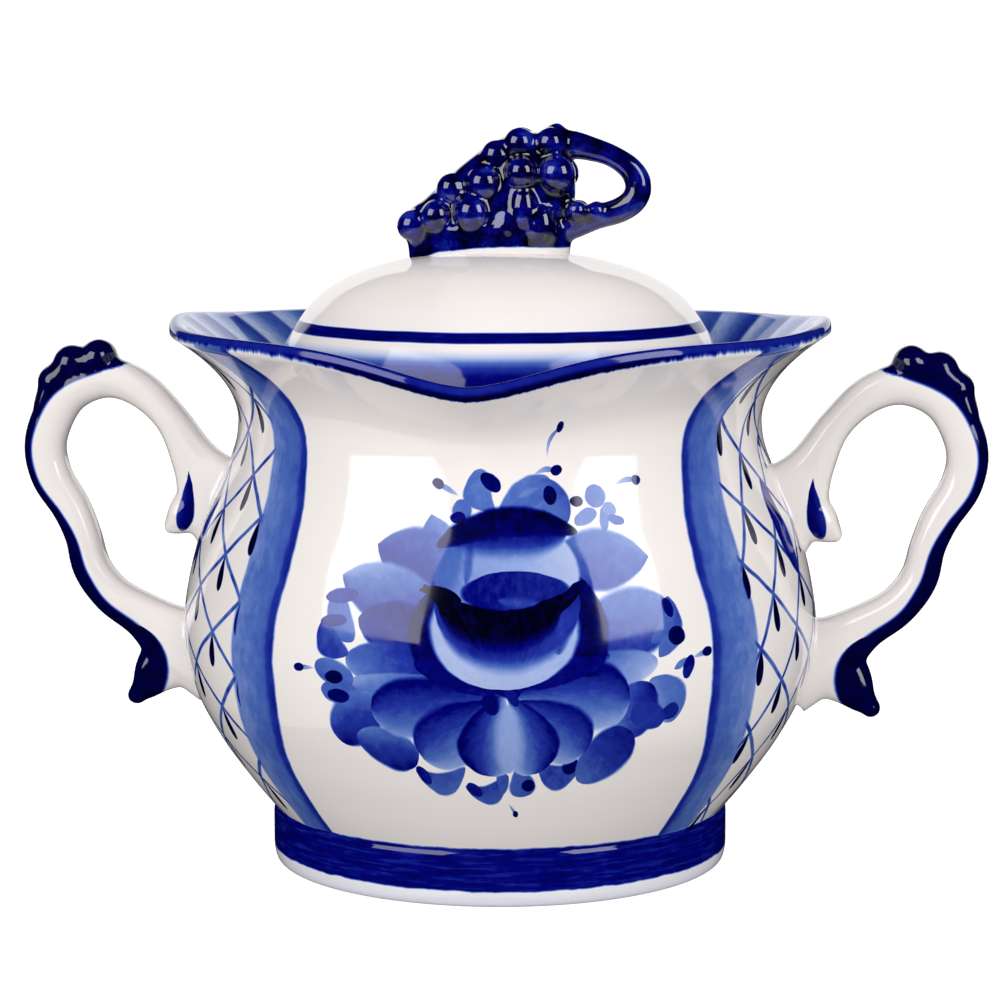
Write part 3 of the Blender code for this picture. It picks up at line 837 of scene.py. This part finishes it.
def sprigs(p):
    """The small strokes above the bud and out at the sides."""
    p.stroke((1.4, 72), (-3.6, 79.2), 5.2, 0.44, 0.38, bend=1.4, taper=0.75, sharp=0.65)
    p.stroke((-2.4, 78.5), (1.8, 76.1), 2.7, 0.86)
    p.blob((-5.8, 72.6), 4, 3.6, 0.42)
    p.blob((-6.5, 71.3), 3.1, 2.1, 0.82)
    p.dot((-6.6, 75), (-11, 76.8), 1.8)
    p.dot((8.8, 78.4), (13.4, 79.2), 1.8, bend=0.5)
    p.dot((11.8, 81.2), (14.2, 86.6), 1.4, bend=0.9)
    p.dot((26, 76.4), (30.9, 76.9), 1.6, bend=0.3)
    p.dot((-32.4, 44.7), (-35.8, 44.5), 1.5)
    p.dot((37.6, 46.6), (40.6, 47.2), 1.6)
    p.dot((3.6, 20.6), (5, 18.6), 1.1)
    p.stroke((15.7, 73.9), (18.6, 73.8), 1.7, 0.9)
    p.blob((21.3, 74.6), 4.5, 3.9, 0.46, 0.38)
    p.stroke((16.4, 70.2), (21, 72.2), 2.5, 0.4)
    p.stroke((22, 68.8), (22.8, 72.8), 1.9, 0.4)
    p.blob((23.9, 72.4), 2.8, 2.3, 0.34)
    p.stroke((23.2, 71), (26.6, 70.2), 1.7, 0.44)


def commas(p):
    """The row of commas below the fan."""
    p.stroke((-14.4, 27), (-4.8, 28), 4.6, 0.56, 0.46, bend=-3, sharp=0.6)
    p.stroke((-14, 28), (-11.8, 24.4), 2.1, 0.74)
    p.stroke((-5, 24), (3.4, 26.4), 4.2, 0.6, 0.5, bend=-2.6, sharp=0.55)
    p.stroke((2.8, 22.8), (1.7, 28.4), 2.2, 0.52, sharp=0.9)
    p.stroke((-4.6, 24.8), (-2, 22.5), 2.2, 0.76)
    p.stroke((5, 28.8), (6.6, 22.2), 4.4, 0.54, 0.48, taper=0.65)
    p.blob((7.2, 24.5), 2.7, 2.5, 0.88)
    p.stroke((8.8, 28.4), (17, 28.2), 5.2, 0.6, 0.54, bend=-2.4, sharp=0.55)
    p.stroke((10.1, 26), (9.7, 31.2), 2.2, 0.54, sharp=0.9)
    p.blob((14.9, 28.3), 3.1, 3.8, 0.86)


def bouquet(p):
    """The flower of a panel. Points are (right of the panel's middle, height)."""
    for part in (leaves, side_strokes, commas, fan, bud_tip, sprigs, rose):
        part(p)


def dry_brush(g, point):
    """Streaks of thicker and thinner paint that run out from the point under the rose."""
    from_heart = g.less(point, *FAN_HEART)
    angle = g.math("ARCTAN2", *g.parts(from_heart))
    reach = g.node("ShaderNodeVectorMath", from_heart, operation="LENGTH").outputs["Value"]
    fine = g.noise(g.vector(angle, g.mul(reach, 0.03)), 14.0, 3.0, 0.65)
    return g.fit(fine, 0.32, 0.84)


def tile_painter(column, row):
    """The painting of one tile of a panel."""
    lefts = TILE_LEFTS + [PANEL_HALF]
    bottoms = TILE_BOTTOMS + [LIP_TOP_SIDE]

    def paint(g):
        point = wobbled(g, g.uv("Paint"))
        p = Painter(g, point, (lefts[column], lefts[column + 1], bottoms[row], bottoms[row + 1]))
        bouquet(p)
        right, height = g.parts(point)
        if p.painted:
            p.density = g.mul(p.density, dry_brush(g, point))
        if column in (0, len(TILE_LEFTS) - 1):
            p.over(vertical_band(g, band_share(g, g.size(right), height), height))
        if row == 0:
            p.over(foot_band(g, height, right))
        if row == len(TILE_BOTTOMS) - 1:
            p.over(rim_line(g, g.smooth(g.size(right), 14.0, 46.0, 2.3, RIM_BREADTH)))
        return p.density
    return paint


def side_painter(first, second, origin):
    """The painting behind a handle: lattice between two bands, and the leaves by the root."""
    def paint(g):
        point = wobbled(g, g.uv("Paint"), 0.8, 0.07)
        right, height = g.parts(point)
        p = Painter(g, point)
        for side in (-1, 1):
            p.stroke((side * 18.5 - PANEL_SHIFT, 74.5), (side * 14.0 - PANEL_SHIFT, 56.5), 6.4,
                     0.60, 0.80, bend=side * 1.0, sharp=0.7)
        share = band_share(g, g.sub(SIDE_CENTRE, g.size(right)), height)
        _, down = g.parts(g.uv("Rim"))
        clear = g.mul(g.smooth(share, 0.82, 0.96), g.smooth(down, 2.6, 3.6))
        p.over(g.mul(lattice(g, point, first, second, origin), clear))
        p.over(vertical_band(g, share, height))
        p.over(foot_band(g, height, right))
        p.over(rim_line(g, RIM_BREADTH))
        return p.density
    return paint


def paint_foot(g):
    """The foot's band, and below it glaze that looks a little blue."""
    around, height = g.parts(g.uv("Paint"))
    wash = g.smooth(height, 0.0, 3.2, 0.065, 0.035)
    return g.most(foot_band(g, height, around), wash)


def paint_flare(g):
    """Broad slanted strokes inside the lip, each darker at one side and round at its end."""
    around, down = g.parts(g.uv("Paint"))
    cell = 2 * math.pi * BELLY_RADIUS / LIP_STROKES
    place = g.math("DIVIDE", g.fit(down, 0.45, around), cell)
    share = g.math("FRACT", place)
    vary = g.noise(g.vector(g.math("FLOOR", place), 0.0), 0.77, 0.0)
    centred = g.fit(share, 2.0, -1.0)
    arch = g.math("SQRT", g.most(g.sub(1.0, g.mul(centred, centred)), 0.0))
    reach = g.add(g.mul(arch, 2.6), g.fit(vary, 2.0, 4.6))
    inside = g.smooth(g.sub(down, reach), 0.45, -0.45)
    load = g.add(g.smooth(share, 0.15, 1.0, 0.56, 0.16), g.fit(vary, 0.2, -0.10))
    streaks = g.noise(g.vector(share, g.mul(down, 0.1)), 9.0, 3.0, 0.6)
    load = g.add(load, g.fit(streaks, 0.16, -0.08))
    return g.mul(g.mul(inside, load), g.smooth(share, 0.0, 0.10, 0.4, 1.0))


def paint_plain(g):
    return 0.0


def paint_lid(g):
    """A fine line high on the dome and a broad band that fades upward from the edge."""
    around, height = g.parts(wobbled(g, g.uv("Paint"), 0.12, 0.06))
    streaks = g.noise(g.vector(g.mul(around, 0.03), height), 1.6, 3.0, 0.6)
    line = g.mul(g.smooth(height, 100.0, 100.3), g.smooth(height, 102.1, 101.8))
    line = g.mul(line, g.smooth(streaks, 0.3, 0.7, 0.90, 0.76))
    band = g.curve(height, [(88.0, 0.80), (94.2, 0.80), (95.6, 0.66), (96.8, 0.44), (97.8, 0.16),
                            (99.0, 0.0)])
    return g.most(line, band)


def paint_handle(g):
    """Cobalt along the outer edge from the thumb rest to the lower spur, and the drop on the
    upper spur. The route map is (distance along, percent of the way from the middle line out)."""
    route, side = g.parts(wobbled(g, g.uv("Route"), 0.25, 0.3))
    start = g.curve(route, [(32.0, 170.0), (34.0, 110.0), (37.0, 50.0), (41.0, 26.0), (50.0, 38.0),
                            (60.0, 46.0), (69.0, 36.0), (76.0, 14.0), (82.0, 4.0), (89.0, 18.0),
                            (97.0, 26.0)])
    edge = g.smooth(g.sub(side, start), -11.0, 11.0, 0.0, 0.93)
    stretch = g.mul(g.smooth(route, 31.5, 33.5), g.smooth(route, 101.0, 97.0))
    p = Painter(g, wobbled(g, g.uv("Paint"), 0.25, 0.3))
    p.density = g.mul(edge, stretch)
    p.blob((70.3, 35.2), 14.4, 16.6, 0.94, 0.92, soft=0.07)
    p.stroke((58.6, 73.0), (60.4, 61.4), 2.9, 0.70, 0.90, bend=-0.5, taper=0.7, sharp=0.62)
    return p.density


def paint_finial(g):
    """Cobalt all over, down to the white foot of the plinth: thin on the crowns of the grapes and
    darker in the crevices, there from pooled glaze and painted shade.
    """
    place = g.node("ShaderNodeTexCoord").outputs["Object"]
    right, height = g.parts(wobbled(g, g.uv("Paint"), 0.3, 0.3))
    edge = g.curve(right, [(-22.0, 112.2), (-18.0, 112.6), (-8.0, 115.0), (0.0, 115.6),
                           (14.0, 115.4), (30.0, 115.4)])
    inside = g.smooth(g.sub(height, edge), -0.25, 0.25)
    # Curvature: lighter on the crowns, darker in the crevices between grapes, partly thicker glaze
    # and partly painted shade
    shape = g.node("ShaderNodeNewGeometry").outputs["Pointiness"]
    load = g.smooth(shape, 0.46, 0.54, 0.99, 0.80)
    load = g.add(load, g.smooth(g.noise(place, 260.0, 3.0, 0.6), 0.32, 0.68, -0.17, 0.13))
    grain = g.smooth(g.noise(place, 2600.0, 1.0), 0.55, 0.7, 0.0, 0.22)
    low = g.smooth(height, 120.5, 117.0)
    load = g.add(load, g.mul(grain, low))
    return g.mul(inside, load)


# ---------------------------------------------------------------- the pieces

def build_bowl():
    paints = {"right_side": side_painter(*LATTICE_RIGHT), "left_side": side_painter(*LATTICE_LEFT),
              "foot": paint_foot, "flare": paint_flare, "inside": paint_plain}
    for column in range(len(TILE_LEFTS)):
        for row in range(len(TILE_BOTTOMS)):
            paints[f"panel_{column}_{row}"] = tile_painter(column, row)
    slots = {name: i for i, name in enumerate(paints)}
    mesh = turned_mesh("bowl_glazed", bowl_outline, BOWL_SEGMENTS, slots)
    for name, paint in paints.items():
        mesh.materials.append(glaze("bowl_" + name, paint))
    new_piece("bowl_glazed", mesh, "bowl_body", ["bowl"])


def build_lid():
    mesh = turned_mesh("lid_glazed", lid_outline, LID_SEGMENTS, {"dome": 0, "inside": 1})
    mesh.materials.append(glaze("lid_painted", paint_lid, coat=0.0))
    mesh.materials.append(glaze("lid_inside", paint_plain))
    new_piece("lid_glazed", mesh, "lid_body", ["lid"])


def belly_radius_at(heights):
    outline = np.array([(p.y, p.x) for p in BELLY_CURVE])
    return np.interp(heights, outline[:, 0], outline[:, 1])


def add_root_patch(builder, low, high, half_angle):
    """A patch of the bowl just under its surface, so that the handle's root eases into it."""
    rows = 24
    columns = 16
    grid = {}
    for layer, depth in (("outside", 0.35), ("inside", 2.6)):
        for i in range(rows + 1):
            z = low + (high - low) * i / rows
            r = float(belly_radius_at(z)) - depth
            for k in range(columns + 1):
                angle = half_angle * (2 * k / columns - 1)
                grid[layer, i, k] = builder.verts.new((r * math.cos(angle), r * math.sin(angle), z))
    for layer, turn in (("outside", 1), ("inside", -1)):
        for i in range(rows):
            for k in range(columns):
                corners = [grid[layer, i, k], grid[layer, i, k + 1], grid[layer, i + 1, k + 1],
                           grid[layer, i + 1, k]]
                builder.faces.new(corners[::turn])
    edge = [(0, k) for k in range(columns)] + [(i, columns) for i in range(rows)]
    edge += [(rows, k) for k in range(columns, 0, -1)] + [(i, 0) for i in range(rows, 0, -1)]
    for (i, k), (m, n) in zip(edge, edge[1:] + edge[:1]):
        builder.faces.new((grid["outside", m, n], grid["outside", i, k], grid["inside", i, k],
                           grid["inside", m, n]))


def route_map(points, stations):
    """How far along the route each point is, and how far out from its middle line in percent."""
    route = np.array([(x, z) for x, z, width in stations])
    gaps = np.linalg.norm(points[:, None, [0, 2]] - route[None, :, :], axis=2)
    nearest = gaps.argmin(axis=1)
    run = np.concatenate([[0.0], np.cumsum(np.linalg.norm(np.diff(route, axis=0), axis=1))])
    ahead = np.gradient(route, axis=0)
    ahead /= np.linalg.norm(ahead, axis=1)[:, None]
    outward = np.stack([-ahead[:, 1], ahead[:, 0]], axis=1)
    away = points[:, [0, 2]] - route[nearest]
    half_width = np.array([0.5 * width for x, z, width in stations])[nearest]
    share = (away * outward[nearest]).sum(axis=1) / half_width
    along = run[nearest] + (away * ahead[nearest]).sum(axis=1)
    return along, 100.0 * share


def build_handle(name, side, node):
    builder = bmesh.new()
    stations = curve_through(HANDLE_ROUTE, CURVE_STEPS)
    last = len(stations) - 1
    depths = [HANDLE_DEPTH + ROOT_SPREAD * max(0.0, 1 - 8 * min(i, last - i) / last)
              for i in range(last + 1)]
    sweep(builder, stations, depths)
    for spur in (UPPER_SPUR, LOWER_SPUR):
        fine = curve_through(spur, 6)
        sweep(builder, fine, [min(HANDLE_DEPTH - 0.4, width + 1.6) for x, z, width in fine])
    add_ellipsoid(builder, *LOWER_TIP)
    for x, z, radius in THUMB_REST:
        add_ellipsoid(builder, (x, 0, z), (radius, 0.53 * HANDLE_DEPTH, radius))
    ridge = curve_through([(x, z - 0.6, 1.75 * radius) for x, z, radius in THUMB_REST]
                          + [(87.2, 84.2, 4.2)], 6)
    sweep(builder, ridge, [1.02 * HANDLE_DEPTH] * len(ridge), boxy=2.0)
    add_root_patch(builder, *ROOT_PATCH)
    mesh = fused(name, builder, HANDLE_VOXEL, HANDLE_EASING)
    points = positions(mesh)
    add_map(mesh, "Paint", points[:, 0], points[:, 2])
    add_map(mesh, "Route", *route_map(points, stations))
    points[:, 0] *= side
    set_positions(mesh, points * MM)
    if side < 0:
        mesh.flip_normals()
    mesh.materials.append(glaze(name + "_painted", paint_handle, coat=0.5))
    new_piece(name, mesh, "bowl_body", [node])


def build_finial():
    builder = bmesh.new()
    grapes = [((x, y, z), (radius, radius, radius)) for x, y, z, radius in GRAPES]
    for (x, y, z), radii in grapes + LEAF:
        for side in (1, -1):
            add_ellipsoid(builder, (x, y * side, z), radii)
    for centre, radii in CORES + MOUND:
        add_ellipsoid(builder, centre, radii)
    ridge = curve_through(RIDGE, 6)
    sweep(builder, ridge, [1.65 * width for x, z, width in ridge], boxy=2.0)
    centre, length, depth, foot, top = PLINTH
    place = (Matrix.Translation((centre, 0, 0.5 * (top + foot)))
             @ Matrix.Diagonal((length, depth, top - foot, 1.0)))
    bmesh.ops.create_cone(builder, cap_ends=True, segments=96, radius1=0.94, radius2=1.0,
                          depth=1.0, matrix=place)
    for route in (STEM, VINE):
        stations = curve_through([(x, z, 2 * radius) for x, z, radius in route], CURVE_STEPS)
        sweep(builder, stations, [width for x, z, width in stations], boxy=2.0)
    mesh = fused("finial_glazed", builder, FINIAL_VOXEL, FINIAL_EASING)
    points = positions(mesh)
    dome = np.array([(p.x, p.y) for p in curve_through(DOME, CURVE_STEPS)])[::-1]
    floor = np.interp(np.hypot(points[:, 0], points[:, 1]), dome[:, 0], dome[:, 1]) - 0.8
    points[:, 2] = np.maximum(points[:, 2], floor)
    add_map(mesh, "Paint", points[:, 0], points[:, 2])
    set_positions(mesh, points * MM)
    mesh.materials.append(glaze("finial_painted", paint_finial, bump=0.08, coat=0.7,
                                coat_ior=1.65))
    new_piece("finial_glazed", mesh, "lid_body", ["grape_finial"])


# ---------------------------------------------------------------- the stage

def build_sweep():
    """A white floor and wall all round that only the camera sees."""
    vertices = []
    for radius, z in SWEEP_PROFILE:
        for k in range(SWEEP_SIDES):
            angle = 2 * math.pi * k / SWEEP_SIDES
            vertices.append((radius * math.cos(angle), radius * math.sin(angle), z))
    faces = [tuple(range(SWEEP_SIDES))]
    for i in range(len(SWEEP_PROFILE) - 1):
        low, high = i * SWEEP_SIDES, (i + 1) * SWEEP_SIDES
        for k in range(SWEEP_SIDES):
            n = (k + 1) % SWEEP_SIDES
            faces.append((low + k, high + k, high + n, low + n))
    mesh = bpy.data.meshes.new("studio_sweep")
    mesh.from_pydata(vertices, [], faces)
    mesh.shade_smooth()
    sweep_item = linked("studio_sweep", mesh)
    material = bpy.data.materials.new("sweep_paper")
    material.use_nodes = True
    set_inputs(material.node_tree.nodes["Principled BSDF"],
               {"Base Color": (0.82, 0.82, 0.82, 1.0), "Roughness": 0.9,
                "Specular IOR Level": 0.0, "Emission Color": (1.0, 1.0, 1.0, 1.0),
                "Emission Strength": SWEEP_GLOW})
    mesh.materials.append(material)
    sweep_item.visible_diffuse = False
    sweep_item.visible_glossy = False


def build_lights():
    """An even white world that reflections don't show, and the rectangular lights."""
    world = bpy.data.worlds.new("studio")
    bpy.context.scene.world = world
    world.use_nodes = True
    set_inputs(world.node_tree.nodes["Background"],
               {"Color": (1.0, 1.0, 1.0, 1.0), "Strength": AMBIENT})
    world.cycles_visibility.glossy = False
    for name, rays, azimuth, elevation, width, height, brightness in LIGHTS:
        light = bpy.data.lights.new(name, "AREA")
        light.shape = "RECTANGLE"
        light.size = width
        light.size_y = height
        light.energy = brightness * math.pi * width * height
        item = linked(name, light)
        turn, rise = math.radians(azimuth), math.radians(elevation)
        away = Vector((math.sin(turn) * math.cos(rise), -math.cos(turn) * math.cos(rise),
                       math.sin(rise)))
        item.location = Vector(LIGHT_AIM) + away * LIGHT_DISTANCE
        item.rotation_euler = away.to_track_quat("Z", "Y").to_euler()
        item.visible_camera = False
        item.visible_diffuse = rays == "diffuse"
        item.visible_glossy = rays == "glossy"


def build_camera():
    camera = bpy.data.cameras.new("camera")
    camera.lens = CAMERA_LENS
    camera.sensor_width = 36.0
    item = linked("camera", camera)
    turn = math.radians(CAMERA_AZIMUTH)
    item.location = (CAMERA_DISTANCE * math.sin(turn), -CAMERA_DISTANCE * math.cos(turn),
                     CAMERA_HEIGHT)
    item.rotation_euler = (math.pi / 2 - math.radians(CAMERA_PITCH), 0.0, turn)
    bpy.context.scene.camera = item


build_camera()
build_sweep()
build_lights()
build_bowl()
build_lid()
build_handle("handle_left_glazed", -1, "handle_left")
build_handle("handle_right_glazed", 1, "handle_right")
build_finial()
bpy.context.scene.view_settings.view_transform = "Standard"
